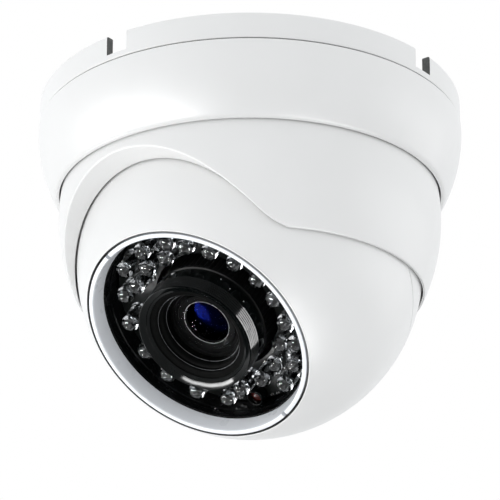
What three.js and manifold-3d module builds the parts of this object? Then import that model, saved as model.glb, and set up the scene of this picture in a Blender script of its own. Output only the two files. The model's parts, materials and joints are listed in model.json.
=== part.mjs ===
// Ceiling-mounted turret ("eyeball") dome CCTV camera with an infrared LED ring and a varifocal lens.
// Millimetres, +Z up. The origin is the centre of the face that lies on the ceiling, and the ball looks
// towards -Y and down. Every piece is a separate closed solid in its own named mesh.
import * as THREE from 'three';
import { mergeVertices } from 'three/addons/utils/BufferGeometryUtils.js';
import Module from 'manifold-3d';

const wasm = await Module();
wasm.setup();

// ---- driving dimensions --------------------------------------------------------------------------
const GAP = 0.3;                    // clearance between neighbouring pieces
const ROUND_BIG = 32;               // sides of the housings
const ROUND_MID = 24;               // sides of the lens pieces
const ROUND_SMALL = 8;              // sides of LEDs, pins and screws

const BASE_R = 61.3;                // outside of the mounting base's band
const BASE_H = 7.7;                 // height of the band of the mounting base
const BASE_HOLE_R = 32;             // opening that lets the top of the ball and the cable through
const PLATE_T = 3;                  // thickness of the ceiling plate
const CHANNEL = { width: 7, depth: 6, start: 30, first: 5, count: 4 };
const FIXING = { circle: 40, radius: 2.3, first: 50, count: 3 };
const RING_TOP = -8.1;
const RING_BOTTOM = -29.4;
const RING_BULGE = { reach: 61.5, radius: 40.8, z: -9.2 };
const RING_LIP_R = 55.1;

const SWIVEL_R = 55;                // outer sphere of the swivel shell
const SWIVEL_CZ = -36;              // height of the centre of that sphere
const SWIVEL_WALL = 2.5;
const SWIVEL_RIM = -59.1;           // plane of the lower rim
const FLANGE_TOP = -18;
const FLANGE_BOTTOM = -20;

const BALL_R = 49.5;
const BALL_CZ = -50.1;
const BALL_WALL = 2.3;
const BALL_CLEAR = 0.6;             // between the ball and the swivel shell
const LOOK_DOWN = 51.5;             // degrees below the horizontal, at rest
const SEAM = -2.35;                 // ball seam, measured along the optical axis from the ball centre
const REAR_CUT = -42;
const BEZEL_R = 34.1;
const BEZEL_FACE = 35.6;

const LED_R = 2.5;                  // standard 5 mm lamp
const LED_LENGTH = 8.7;
const BOARD_TOP = 22.6;
const LED_FOOT = BOARD_TOP + GAP;

const degrees = THREE.MathUtils.degToRad;

// ---- materials -----------------------------------------------------------------------------------
const finish = (color, roughness, metalness = 0) =>
  new THREE.MeshStandardMaterial({ color, roughness, metalness });
const white = finish(0xe9eaec, 0.38);
const whiteTrim = finish(0xdfe3ea, 0.34);
const black = finish(0x0c0d0f, 0.5);
const blackGloss = finish(0x111416, 0.22);
const rubber = finish(0x1c1c1e, 0.8);
const foam = finish(0x2a2a2c, 0.95);
const steel = finish(0xb9bcc0, 0.3, 1);
const acetal = finish(0xd8d5ca, 0.45);
const board = finish(0x0d1712, 0.55);
const clearEpoxy = finish(0xdfe6ee, 0.08);
const sensorRed = finish(0x5a1c1a, 0.35);
const glass = finish(0x1a1f55, 0.03);

// ---- helpers -------------------------------------------------------------------------------------
// A piece turned about Z. The outline is a list of [radius, z] points that closes on itself or
// starts and ends on the axis, in either direction.
function turned(outline, sides = ROUND_BIG) {
  const points = outline.map(([r, z]) => new THREE.Vector2(r, z));
  if (THREE.ShapeUtils.area(points) < 0) points.reverse();
  const onAxis = points.some((p) => p.x === 0);
  if (onAxis) {
    while (!(points[0].x === 0 && points.at(-1).x === 0)) points.push(points.shift());
  } else {
    points.push(points[0].clone());
  }
  return new THREE.LatheGeometry(points, sides).rotateX(Math.PI / 2);
}

// Points of an arc in the [radius, z] plane, angles in degrees from the +radius direction.
function arc(cr, cz, radius, from, to, steps) {
  return Array.from({ length: steps + 1 }, (_, i) => {
    const angle = degrees(from + ((to - from) * i) / steps);
    return [cr + radius * Math.cos(angle), cz + radius * Math.sin(angle)];
  });
}

// Points of a sphere's outline centred on the axis at height cz, between two heights.
function sphereArc(radius, cz, zFrom, zTo, steps) {
  const angle = (z) => THREE.MathUtils.radToDeg(Math.asin((z - cz) / radius));
  return arc(0, cz, radius, angle(zFrom), angle(zTo), steps);
}

const rod = (radius, z0, z1, sides = ROUND_SMALL) =>
  turned([[0, z0], [radius, z0], [radius, z1], [0, z1]], sides);

const tube = (inner, outer, z0, z1, sides = ROUND_BIG) =>
  turned([[inner, z0], [outer, z0], [outer, z1], [inner, z1]], sides);

function block(x0, x1, y0, y1, z0, z1) {
  return new THREE.BoxGeometry(x1 - x0, y1 - y0, z1 - z0)
    .translate((x0 + x1) / 2, (y0 + y1) / 2, (z0 + z1) / 2);
}

// A flat sector of a ring, centred on the angle `middle`.
function sector(inner, outer, z0, z1, middle, span) {
  const from = degrees(middle - span / 2);
  const to = degrees(middle + span / 2);
  const shape = new THREE.Shape();
  shape.absarc(0, 0, outer, from, to, false);
  shape.absarc(0, 0, inner, to, from, true);
  shape.closePath();
  const geometry = new THREE.ExtrudeGeometry(shape, { depth: z1 - z0, bevelEnabled: false, curveSegments: 4 });
  return geometry.translate(0, 0, z0);
}

function toSolid(geometry) {
  const plain = geometry.clone();
  plain.deleteAttribute('normal');
  plain.deleteAttribute('uv');
  const merged = mergeVertices(plain, 1e-4);
  return new wasm.Manifold(new wasm.Mesh({
    numProp: 3,
    vertProperties: new Float32Array(merged.attributes.position.array),
    triVerts: new Uint32Array(merged.index.array),
  }));
}

function toGeometry(manifold) {
  const { numProp, vertProperties, triVerts } = manifold.getMesh();
  const geometry = new THREE.BufferGeometry();
  const positions = new Float32Array((vertProperties.length / numProp) * 3);
  for (let i = 0; i < positions.length / 3; i += 1) {
    for (let k = 0; k < 3; k += 1) positions[3 * i + k] = vertProperties[numProp * i + k];
  }
  geometry.setAttribute('position', new THREE.BufferAttribute(positions, 3));
  geometry.setIndex(new THREE.BufferAttribute(new Uint32Array(triVerts), 1));
  geometry.computeVertexNormals();
  return geometry;
}

const cut = (geometry, ...tools) =>
  toGeometry(tools.reduce((solid, tool) => solid.subtract(toSolid(tool)), toSolid(geometry)));

const join = (geometry, ...others) =>
  toGeometry(others.reduce((solid, other) => solid.add(toSolid(other)), toSolid(geometry)));

const camera = new THREE.Group();

function add(group, name, geometry, material) {
  const mesh = new THREE.Mesh(geometry, material);
  mesh.name = name;
  group.add(mesh);
  return mesh;
}

// ---- mounting base and enclosure ring ------------------------------------------------------------
const SKIRT = { inner: 51, outer: 53.5, bottom: -16.4 };
const MOAT = { inner: 50, floor: -6.2 };
const LUG_ANGLES = [60, 180, 300];
const LUG_TOP = -11.5;
const GASKET = { inner: 45.8, outer: 48.2, depth: 0.7 };

// A plate inside a band, with an open moat between them. Four channels let the cable out sideways.
function mountingBase() {
  const bandInner = BASE_R - 2.6;
  const body = turned([
    [BASE_HOLE_R, -PLATE_T], [MOAT.inner - 2, -PLATE_T], [MOAT.inner - 2, -BASE_H], [SKIRT.inner, -BASE_H],
    [SKIRT.inner, SKIRT.bottom], [SKIRT.outer, SKIRT.bottom], [SKIRT.outer, -BASE_H],
    [BASE_R - 0.1, -BASE_H], [BASE_R, -0.5], [BASE_R - 0.5, 0], [bandInner, 0], [bandInner, MOAT.floor],
    [MOAT.inner, MOAT.floor], [MOAT.inner, 0], [BASE_HOLE_R, 0],
  ]);
  const lugs = LUG_ANGLES.map((angle) => sector(SKIRT.outer - 0.4, 55.6, LUG_TOP - 2, LUG_TOP, angle, 24));
  const groove = tube(GASKET.inner - GAP, GASKET.outer + GAP, -GASKET.depth - GAP, 1);
  const channels = Array.from({ length: CHANNEL.count }, (_, i) =>
    block(-CHANNEL.width / 2, CHANNEL.width / 2, -BASE_R - 1, -CHANNEL.start, -CHANNEL.depth, 1)
      .rotateZ(degrees(CHANNEL.first + (360 * i) / CHANNEL.count)));
  const holes = Array.from({ length: FIXING.count }, (_, i) =>
    rod(FIXING.radius, -PLATE_T - 1, 1).translate(0, -FIXING.circle, 0)
      .rotateZ(degrees(FIXING.first + (360 * i) / FIXING.count)));
  return cut(join(body, ...lugs), groove, ...channels, ...holes);
}

function enclosureRing() {
  const { reach, radius, z } = RING_BULGE;
  const angle = (height) => THREE.MathUtils.radToDeg(Math.asin((height - z) / radius));
  const body = turned([
    [RING_LIP_R, RING_BOTTOM], [RING_LIP_R + 0.3, RING_BOTTOM],
    ...arc(reach - radius, z, radius, angle(RING_BOTTOM + 0.8), angle(RING_TOP), 5),
    [BASE_R - 2.6, RING_TOP], [58.2, -9.6], [57.6, -14], [56.1, FLANGE_TOP], [56.1, FLANGE_BOTTOM - GAP],
    [RING_LIP_R, FLANGE_BOTTOM - GAP],
  ]);
  const tabs = LUG_ANGLES.map((middle) =>
    sector(SKIRT.outer + GAP, 58.6, LUG_TOP + GAP, LUG_TOP + 2.5, middle, 20));
  return join(body, ...tabs);
}

add(camera, 'mounting_base', mountingBase(), white);
add(camera, 'base_gasket', tube(GASKET.inner, GASKET.outer, -GASKET.depth, 0), foam);
add(camera, 'enclosure_ring', enclosureRing(), white);
add(camera, 'friction_ring', tube(51.2, 55.4, FLANGE_TOP + GAP, SKIRT.bottom - GAP), acetal);

// ---- swivel shell --------------------------------------------------------------------------------
// The front of the shell is cut by an arch that is pushed outwards and slightly upwards. Its outline
// is one large arc, and two reversed arcs lead it into the lower rim.
const ARCH = { radius: 44.4, top: -40.8, blend: 8.7, foot: -63.4, rise: 9, lip: 2.2 };
const PIVOT = { pin: 2, bush: 3.8, seat: 52 };

function archSolid(grow) {
  const radius = ARCH.radius + grow;
  const blend = ARCH.blend - grow;
  const centreY = ARCH.top - ARCH.radius;
  const blendY = ARCH.foot + ARCH.blend;
  const blendX = Math.sqrt((ARCH.radius + ARCH.blend) ** 2 - (blendY - centreY) ** 2);
  const lean = Math.atan2(blendY - centreY, blendX);
  const shape = new THREE.Shape();
  shape.moveTo(-blendX, ARCH.foot - 45);
  shape.lineTo(blendX, ARCH.foot - 45);
  shape.lineTo(blendX, blendY - blend);
  shape.absarc(blendX, blendY, blend, -Math.PI / 2, lean - Math.PI, true);
  shape.absarc(0, centreY, radius, lean, Math.PI - lean, false);
  shape.absarc(-blendX, blendY, blend, -lean, -Math.PI / 2, true);
  shape.closePath();
  return new THREE.ExtrudeGeometry(shape, { depth: 60, bevelEnabled: false, curveSegments: 9 })
    .translate(0, 0, 12)
    .rotateX(degrees(90 - ARCH.rise));
}

function sideways(geometry, side) {
  return geometry.rotateY((side * Math.PI) / 2).translate(0, 0, BALL_CZ);
}

function swivelShell() {
  const outer = turned([
    [0, SWIVEL_RIM], ...sphereArc(SWIVEL_R, SWIVEL_CZ, SWIVEL_RIM, -24, 6),
    [53.4, FLANGE_BOTTOM], [55.6, FLANGE_BOTTOM], [55.6, FLANGE_TOP], [0, FLANGE_TOP],
  ]);
  const clearance = turned([
    [0, -64], ...sphereArc(BALL_R + BALL_CLEAR, BALL_CZ, -64, -16, 7), [0, -16],
  ]);
  const hollow = turned([
    [0, -62], [40, -62], ...sphereArc(SWIVEL_R - SWIVEL_WALL, SWIVEL_CZ, -62, -24, 5),
    [51, FLANGE_BOTTOM], [51, 0], [0, 0],
  ]);
  const pockets = [1, -1].map((side) => sideways(rod(PIVOT.bush + GAP, 46, PIVOT.seat), side));
  const space = toGeometry(toSolid(hollow).subtract(toSolid(archSolid(ARCH.lip))));
  return cut(outer, clearance, space, archSolid(0), ...pockets);
}

add(camera, 'swivel_shell', swivelShell(), white);
for (const [name, side] of [['right', 1], ['left', -1]]) {
  const bush = tube(PIVOT.pin + GAP, PIVOT.bush, BALL_R + BALL_CLEAR + 0.1, PIVOT.seat - GAP, ROUND_SMALL);
  add(camera, `pivot_bush_${name}`, sideways(bush, side), acetal);
  add(camera, `tilt_pivot_${name}`, sideways(rod(PIVOT.pin, 47.1, PIVOT.seat - GAP), side), steel);
}

// ---- the ball ------------------------------------------------------------------------------------
// Everything below is built along the optical axis: local +Z looks out of the lens, local +X is +X.
const ball = new THREE.Group();
ball.position.z = BALL_CZ;
ball.rotation.x = degrees(90 + LOOK_DOWN);
camera.add(ball);

const SHELL_SCREW = { circle: 38, post: 3.2, shaft: 1.3, head: 2.6, seat: -22, count: 3, first: 90 };
const CUP = { inner: 31, outer: 32.4, flange: 33.5, floor: 19, step: 30.6, rim: 31.7, ledge: 29.5 };

function aroundAxis(make, { circle, count, first }) {
  return Array.from({ length: count }, (_, i) => {
    const angle = degrees(first + (360 * i) / count);
    return make().translate(circle * Math.cos(angle), circle * Math.sin(angle), 0);
  });
}

function ballFrontShell() {
  const boreR = BEZEL_R + GAP;
  const edge = Math.sqrt(BALL_R ** 2 - (boreR + 0.4) ** 2);
  const insideR = BALL_R - BALL_WALL;
  const seat = CUP.ledge - GAP;
  const ledgeFoot = seat - 2.4;
  const body = turned([
    ...sphereArc(BALL_R, 0, SEAM, edge, 6), [boreR, BEZEL_FACE], [boreR, seat], [CUP.outer + 0.4, seat],
    [CUP.outer + 0.4, ledgeFoot], ...sphereArc(insideR, 0, ledgeFoot, SEAM, 4),
  ]);
  const posts = aroundAxis(() => rod(SHELL_SCREW.post, SEAM, 27), SHELL_SCREW);
  const threads = aroundAxis(() => rod(SHELL_SCREW.shaft + GAP, SEAM - 1, 12), SHELL_SCREW);
  const pinHoles = [1, -1].map((side) => rod(PIVOT.pin + GAP, 40, 51).rotateY((side * Math.PI) / 2));
  return cut(join(body, ...posts), ...threads, ...pinHoles);
}

function ballRearShell() {
  const insideR = BALL_R - BALL_WALL;
  const top = SEAM - GAP;
  const floor = REAR_CUT + 2.5;
  const body = turned([
    [5, REAR_CUT], ...sphereArc(BALL_R, 0, REAR_CUT, top, 7), ...sphereArc(insideR, 0, top, floor, 5),
    [5, floor],
  ]);
  const posts = aroundAxis(() => rod(SHELL_SCREW.post, -27, top), SHELL_SCREW);
  const shafts = aroundAxis(() => rod(SHELL_SCREW.shaft + GAP, -45, 0), SHELL_SCREW);
  const heads = aroundAxis(() => rod(SHELL_SCREW.head + GAP, -45, SHELL_SCREW.seat), SHELL_SCREW);
  return cut(join(body, ...posts), ...shafts, ...heads);
}

function shellScrew() {
  const { shaft, head, seat } = SHELL_SCREW;
  const under = seat - GAP;
  return turned([[0, under - 2], [head, under - 2], [head, under], [shaft, under], [shaft, 11], [0, 11]],
    ROUND_SMALL);
}

const BEZEL_NOTCH = { width: 1.7, depth: 1.3, inner: 32.9, angles: [109.5, -70.5] };
const BEZEL_SLEEVE_R = 31.6;

function bezelRing() {
  const back = CUP.rim + GAP;
  const tip = CUP.step + GAP;
  const ring = turned([
    [BEZEL_SLEEVE_R, back], [BEZEL_R, back], [BEZEL_R, BEZEL_FACE - 0.3], [BEZEL_R - 0.2, BEZEL_FACE],
    [32.3, BEZEL_FACE + 0.1], [32.1, BEZEL_FACE - 0.15], [BEZEL_SLEEVE_R - 0.35, tip], [BEZEL_SLEEVE_R, tip],
  ]);
  const notches = BEZEL_NOTCH.angles.map((angle) =>
    block(BEZEL_NOTCH.inner, BEZEL_R + 1, -BEZEL_NOTCH.width / 2, BEZEL_NOTCH.width / 2,
      BEZEL_FACE - BEZEL_NOTCH.depth, BEZEL_FACE + 1).rotateZ(degrees(angle)));
  return cut(ring, ...notches);
}

function cableGrommet() {
  return turned([
    [1.7, REAR_CUT - 2.2], [6.5, REAR_CUT - 2.2], [7.5, REAR_CUT - 1.2], [7.5, REAR_CUT - GAP],
    [4.7, REAR_CUT - GAP], [4.7, REAR_CUT + 2.8], [6.5, REAR_CUT + 2.8], [6.5, REAR_CUT + 4], [1.7, REAR_CUT + 4],
  ], 16);
}

add(ball, 'ball_front_shell', ballFrontShell(), white);
add(ball, 'ball_rear_shell', ballRearShell(), white);
add(ball, 'ball_seal', tube(45.2, 46.8, SEAM - 1.6, SEAM + 1.4), rubber);
add(ball, 'bezel_ring', bezelRing(), whiteTrim);
add(ball, 'cable_grommet', cableGrommet(), rubber);
aroundAxis(shellScrew, SHELL_SCREW).forEach((geometry, i) => add(ball, `shell_screw_${i + 1}`, geometry, steel));

// ---- camera module: LED board, lamps and light sensor --------------------------------------------
const twoDigits = (n) => String(n).padStart(2, '0');

// The lamps stand in a single row, doubled on two opposite sides. Angles in degrees, from local +X.
const LAMP_ROWS = [
  { circle: 25.3, first: 68.5, step: -17.2, count: 6 },
  { circle: 27.7, first: -31, step: -17, count: 3 },
  { circle: 22.5, first: -34.5, step: -20.5, count: 4 },
  { circle: 25.2, first: 249.5, step: -21.8, count: 6 },
  { circle: 27.2, first: 121, step: -20, count: 3 },
  { circle: 22.4, first: 128, step: -20, count: 3 },
];
const LIGHT_SENSOR = { circle: 28.2, angle: -97, radius: 2.5, height: 2.2 };

function lamp() {
  return turned([
    [0, LED_FOOT], [LED_R, LED_FOOT], [LED_R, LED_FOOT + LED_LENGTH - LED_R],
    [LED_R * 0.7, LED_FOOT + LED_LENGTH - LED_R * 0.25],
    [0, LED_FOOT + LED_LENGTH],
  ], ROUND_SMALL);
}

function moduleCup() {
  return turned([
    [19, CUP.floor], [CUP.outer, CUP.floor], [CUP.outer, CUP.ledge], [CUP.flange, CUP.ledge],
    [CUP.flange, CUP.rim], [BEZEL_SLEEVE_R + GAP, CUP.rim], [BEZEL_SLEEVE_R + GAP, CUP.step],
    [CUP.inner, CUP.step], [CUP.inner, CUP.floor + 1.6], [19, CUP.floor + 1.6],
  ]);
}

add(ball, 'module_cup', moduleCup(), black);
add(ball, 'led_board', tube(18.9, 30.6, BOARD_TOP - 1.6, BOARD_TOP), board);
LAMP_ROWS.flatMap(({ circle, first, step, count }) =>
  Array.from({ length: count }, (_, i) => ({ circle, angle: degrees(first + step * i) })))
  .forEach(({ circle, angle }, i) => {
    const geometry = lamp().translate(circle * Math.cos(angle), circle * Math.sin(angle), 0);
    add(ball, `led_${twoDigits(i + 1)}`, geometry, clearEpoxy);
  });
const sensorAngle = degrees(LIGHT_SENSOR.angle);
add(ball, 'light_sensor', rod(LIGHT_SENSOR.radius, LED_FOOT, LED_FOOT + LIGHT_SENSOR.height)
  .translate(LIGHT_SENSOR.circle * Math.cos(sensorAngle), LIGHT_SENSOR.circle * Math.sin(sensorAngle), 0),
sensorRed);

// ---- varifocal lens ------------------------------------------------------------------------------
const LENS = { front: 36.6, rimR: 16.5, sleeveR: 17.4, shoulder: 31.9, sleeveBack: 27.8, barrelR: 14.2, bore: 11.5 };
const FOCUS_RING = { outer: 17.5, from: 15.5, to: 27.3 };
const ZOOM_RING = { outer: 16.6, from: 4, to: 11.5 };
const KNURL = { teeth: 40, depth: 0.5 };

function knurledRing({ outer, from, to }) {
  const shape = new THREE.Shape();
  for (let i = 0; i < KNURL.teeth * 2; i += 1) {
    const angle = (Math.PI * i) / KNURL.teeth;
    const r = i % 2 ? outer - KNURL.depth : outer;
    shape[i ? 'lineTo' : 'moveTo'](r * Math.cos(angle), r * Math.sin(angle));
  }
  shape.closePath();
  const hole = new THREE.Path();
  hole.absarc(0, 0, LENS.barrelR + 0.4, 0, 2 * Math.PI, true);
  shape.holes.push(hole);
  return new THREE.ExtrudeGeometry(shape, { depth: to - from, bevelEnabled: false, curveSegments: 24 })
    .translate(0, 0, from);
}

// The sleeve widens towards the back, and its inside steps in like a funnel to the front element.
function frontSleeve() {
  const { front, rimR, sleeveR, shoulder, sleeveBack } = LENS;
  return turned([
    [11.6, sleeveBack], [sleeveR, sleeveBack], [sleeveR, shoulder], [rimR, front - 0.4], [rimR - 0.4, front],
    [15.7, front], [15.1, front - 1.1], [13, front - 1.4], [12.6, front - 3.4], [11.6, front - 4],
  ], ROUND_MID);
}

function frontElement() {
  const edge = 31;
  return turned([
    [0, edge + 0.2], [4, edge - 0.2], [7.6, edge - 1.7], [11.2, edge - 1.7], [11.2, edge], [8.4, edge + 0.9],
    [5, edge + 1.6], [0, edge + 2],
  ], ROUND_MID);
}

function secondElement() {
  return turned([[0, 24.2], [7.4, 24.2], [7.4, 25.6], [5, 26.3], [2.5, 26.6], [0, 26.7]], ROUND_MID);
}

function lensBarrel() {
  const { barrelR, bore } = LENS;
  return turned([
    [8, -1.5], [barrelR, -1.5], [barrelR, 27.3], [bore, 27.3], [bore, 24], [7, 24], [7, 10], [8, 10],
  ], ROUND_MID);
}

// A small thumb screw that points outwards along local +X, at height z along the optical axis.
function thumbScrew(from, z) {
  return turned([[0, from], [1, from], [1, from + 2.6], [1.5, from + 2.6], [1.5, from + 6], [0, from + 6]],
    ROUND_SMALL).rotateY(Math.PI / 2).translate(0, 0, z);
}

add(ball, 'lens_barrel', lensBarrel(), black);
add(ball, 'second_element', secondElement(), glass);
add(ball, 'lens_front_sleeve', frontSleeve(), blackGloss);
add(ball, 'front_element', frontElement(), glass);
add(ball, 'lens_baffle', tube(6.8, 11.2, 27.6, 28.9, ROUND_MID), black);
add(ball, 'focus_ring', knurledRing(FOCUS_RING), black);
add(ball, 'focus_lock_screw', thumbScrew(FOCUS_RING.outer + GAP, FOCUS_RING.from + 1.7), steel);
add(ball, 'zoom_ring', knurledRing(ZOOM_RING), black);
add(ball, 'zoom_lock_screw', thumbScrew(ZOOM_RING.outer + GAP, ZOOM_RING.from + 3.7).rotateZ(Math.PI / 2), steel);

// ---- lens bracket, sensor and boards -------------------------------------------------------------
function lensBracket() {
  const plate = block(-29, 29, -15, 15, -8.3, -5.3);
  const arms = [1, -1].map((side) => block(27.5 - 1.5, 27.5 + 1.5, -9, 9, -6, CUP.floor - GAP)
    .rotateZ(side > 0 ? 0 : Math.PI));
  return cut(join(plate, ...arms), rod(8, -10, 0, ROUND_MID));
}

add(ball, 'lens_bracket', lensBracket(), steel);
add(ball, 'lens_mount', tube(8.2, 15.5, -5, -1.8, ROUND_MID), blackGloss);
add(ball, 'image_sensor', block(-4.5, 4.5, -4, 4, -10.1, -8.8), blackGloss);
add(ball, 'sensor_board', block(-19, 19, -19, 19, -12, -10.4), board);
add(ball, 'main_board', block(-19, 19, -19, 19, -22, -20.4), board);
add(ball, 'board_connector', block(-6, 6, 8, 13, -26.3, -22.3), acetal);

export default camera;
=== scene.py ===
"""Looks of the ceiling turret camera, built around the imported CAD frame."""
import json
import math

import bpy
import bmesh
from mathutils import Euler, Matrix, Vector


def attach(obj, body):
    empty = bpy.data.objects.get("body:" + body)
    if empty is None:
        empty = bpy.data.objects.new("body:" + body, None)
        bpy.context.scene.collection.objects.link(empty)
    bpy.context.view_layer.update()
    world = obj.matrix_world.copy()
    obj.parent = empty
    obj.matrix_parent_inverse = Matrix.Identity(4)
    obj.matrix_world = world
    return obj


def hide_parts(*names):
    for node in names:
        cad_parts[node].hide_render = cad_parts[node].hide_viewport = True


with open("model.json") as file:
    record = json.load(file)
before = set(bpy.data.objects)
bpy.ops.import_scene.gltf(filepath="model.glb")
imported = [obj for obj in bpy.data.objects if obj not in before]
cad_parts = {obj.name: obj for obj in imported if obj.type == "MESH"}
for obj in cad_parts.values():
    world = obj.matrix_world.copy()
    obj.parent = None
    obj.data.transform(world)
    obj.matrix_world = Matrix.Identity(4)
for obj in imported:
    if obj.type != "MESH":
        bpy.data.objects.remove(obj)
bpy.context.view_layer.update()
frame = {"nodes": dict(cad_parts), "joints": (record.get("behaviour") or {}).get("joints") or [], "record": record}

MM = 0.001
JOINTS = {joint["name"]: joint for joint in frame["joints"]}
BALL_CENTRE = Vector(JOINTS["tilt"]["pos_m"])
OPTICAL_AXIS = Vector(JOINTS["roll"]["axis"]).normalized()

# Profiles below are in millimetres. The housings use the row frame, and the ball and its contents use
# the ball frame: origin at the ball's centre, +Z along the optical axis, +X as in the row frame.
ROW = Matrix.Scale(MM, 4)
BALL_X = Vector((1, 0, 0))
BALL_Y = OPTICAL_AXIS.cross(BALL_X).normalized()
BALL = Matrix.Translation(BALL_CENTRE) @ Matrix(
    (BALL_X, BALL_Y, OPTICAL_AXIS)).transposed().to_4x4() @ Matrix.Scale(MM, 4)

# ---- dimensions shared by several pieces, in millimetres -------------------------------------------
BASE_R = 61.3
BASE_H = 7.7
RING_TOP = -8.1
RING_BOTTOM = -29.4
RING_LIP_R = 55.1
SWIVEL_R, SWIVEL_CZ, SWIVEL_RIM = 55.0, -36.0, -59.1
SWIVEL_TOP = -24.0      # where the swivel's outer sphere starts, under its collar
BALL_R = 49.5
BALL_INNER_R = 47.2
BALL_CZ = BALL_CENTRE.z / MM
BALL_CLEAR_R = 50.1     # the sphere that clears the ball
SEAM = -2.35
SEAM_GAP = 0.3
REAR_CUT = -42.0        # the flat at the back of the ball
BEZEL_R = 34.1
BEZEL_FACE = 35.6
CUP_RIM = 31.7
CUP_STEP = 30.6
BEZEL_SKIRT_R = 31.6    # outside of the bezel's skirt, which reaches into the cup
CUP_INNER_R = 31.0
BOARD_TOP = 22.6
LED_FOOT = 22.9

FINE = 192      # sides of the housings
MEDIUM = 96     # sides of lens and bezel pieces
SMALL = 28      # sides of lamps and screws
SHARP = 32      # edges with a greater angle stay sharp, in degrees


# ---- mesh helpers ----------------------------------------------------------------------------------
def rounded(points, closed, steps=4):
    """Profile points as (r, z) or (r, z, fillet): each fillet is worked out as a short curve."""
    out = []
    count = len(points)
    for i, point in enumerate(points):
        here = Vector(point[:2])
        fillet = point[2] if len(point) > 2 else 0
        inner = closed or 0 < i < count - 1
        if not fillet or not inner:
            out.append(tuple(here))
            continue
        before = Vector(points[i - 1][:2]) - here
        after = Vector(points[(i + 1) % count][:2]) - here
        reach = min(fillet, before.length * 0.49, after.length * 0.49)
        start = here + before.normalized() * reach
        end = here + after.normalized() * reach
        for k in range(steps + 1):
            t = k / steps
            out.append(tuple(start * (1 - t) ** 2 + here * 2 * t * (1 - t) + end * t ** 2))
    return out


def sphere_arc(radius, cz, z_from, z_to, steps):
    """Outline of a sphere centred on the axis at cz, between two heights."""
    a = math.asin((z_from - cz) / radius)
    b = math.asin((z_to - cz) / radius)
    angles = [a + (b - a) * i / steps for i in range(steps + 1)]
    return [(radius * math.cos(angle), cz + radius * math.sin(angle)) for angle in angles]


def circle_arc(cr, cz, radius, z_from, z_to, steps):
    """Arc of a circle centred at (cr, cz), between two heights."""
    return [(cr + r, z) for r, z in sphere_arc(radius, cz, z_from, z_to, steps)]


def object_from(name, verts, faces, matrix, sharp=SHARP):
    """A mesh object with its normals facing out and its edges smooth up to the sharp angle."""
    mesh = bpy.data.meshes.new(name)
    mesh.from_pydata([tuple(v) for v in verts], [], faces)
    mesh.transform(matrix)
    bm = bmesh.new()
    bm.from_mesh(mesh)
    bmesh.ops.remove_doubles(bm, verts=bm.verts, dist=1e-7)
    bmesh.ops.recalc_face_normals(bm, faces=bm.faces)
    bm.to_mesh(mesh)
    bm.free()
    smooth(mesh, sharp)
    obj = bpy.data.objects.new(name, mesh)
    bpy.context.scene.collection.objects.link(obj)
    return obj


def smooth(mesh, sharp):
    """Smooth shading, except over edges with more than the sharp angle."""
    mesh.shade_smooth()
    mesh.set_sharp_from_angle(angle=math.radians(sharp))


def lathe_data(profile, sides, closed, offset=(0, 0, 0)):
    """Vertices and quads of a profile turned about Z. An open profile starts and ends on the axis."""
    verts, faces = [], []
    rows = len(profile)
    for i in range(sides):
        angle = 2 * math.pi * i / sides
        for r, z in profile:
            x, y = r * math.cos(angle), r * math.sin(angle)
            verts.append((offset[0] + x, offset[1] + y, offset[2] + z))
    for i in range(sides):
        j = (i + 1) % sides
        for k in range(rows if closed else rows - 1):
            m = (k + 1) % rows
            quad = [i * rows + k, j * rows + k, j * rows + m, i * rows + m]
            if profile[k][0] < 1e-6:
                quad.remove(j * rows + k)
            if profile[m][0] < 1e-6:
                quad.remove(j * rows + m)
            if len(quad) > 2:
                faces.append(quad)
    return verts, faces


def lathe(name, points, matrix, sides=FINE, closed=True, sharp=SHARP):
    """A turned piece with rounded corners."""
    verts, faces = lathe_data(rounded(points, closed), sides, closed)
    return object_from(name, verts, faces, matrix, sharp)


def carve(obj, cutters):
    """Takes the cutters out of obj and removes them."""
    for cutter in cutters:
        modifier = obj.modifiers.new("cut", "BOOLEAN")
        modifier.operation = "DIFFERENCE"
        modifier.solver = "EXACT"
        modifier.object = cutter
    bpy.context.view_layer.update()
    graph = bpy.context.evaluated_depsgraph_get()
    mesh = bpy.data.meshes.new_from_object(obj.evaluated_get(graph))
    obj.modifiers.clear()
    old, obj.data = obj.data, mesh
    bpy.data.meshes.remove(old)
    for cutter in cutters:
        bpy.data.objects.remove(cutter)
    smooth(obj.data, SHARP)


def box_data(low, high):
    """Vertices and faces of a box between two corners."""
    verts = [(x, y, z) for x in (low[0], high[0]) for y in (low[1], high[1]) for z in (low[2], high[2])]
    faces = [(0, 1, 3, 2), (4, 6, 7, 5), (0, 4, 5, 1), (2, 3, 7, 6), (0, 2, 6, 4), (1, 5, 7, 3)]
    return verts, faces


def spin(angle):
    """A turn about Z, in degrees."""
    return Matrix.Rotation(math.radians(angle), 4, "Z")


def settle(obj, material, body, nodes=()):
    """Gives a piece its material and body, and hides the CAD nodes it replaces."""
    obj.data.materials.clear()
    for entry in material if isinstance(material, (list, tuple)) else [material]:
        obj.data.materials.append(entry)
    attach(obj, body)
    if nodes:
        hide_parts(*nodes)
    return obj


def mark_faces(obj, indices):
    """Gives each face its material index."""
    for polygon, index in zip(obj.data.polygons, indices):
        polygon.material_index = index


def on_circle(radius, angle):
    """The point (x, y) at an angle in degrees."""
    return radius * math.cos(math.radians(angle)), radius * math.sin(math.radians(angle))


def merged(parts):
    """Joins (verts, faces, material index) lists into one list of verts, faces and indices."""
    verts, faces, indices = [], [], []
    for part_verts, part_faces, index in parts:
        base = len(verts)
        verts += part_verts
        faces += [[base + k for k in face] for face in part_faces]
        indices += [index] * len(part_faces)
    return verts, faces, indices


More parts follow.
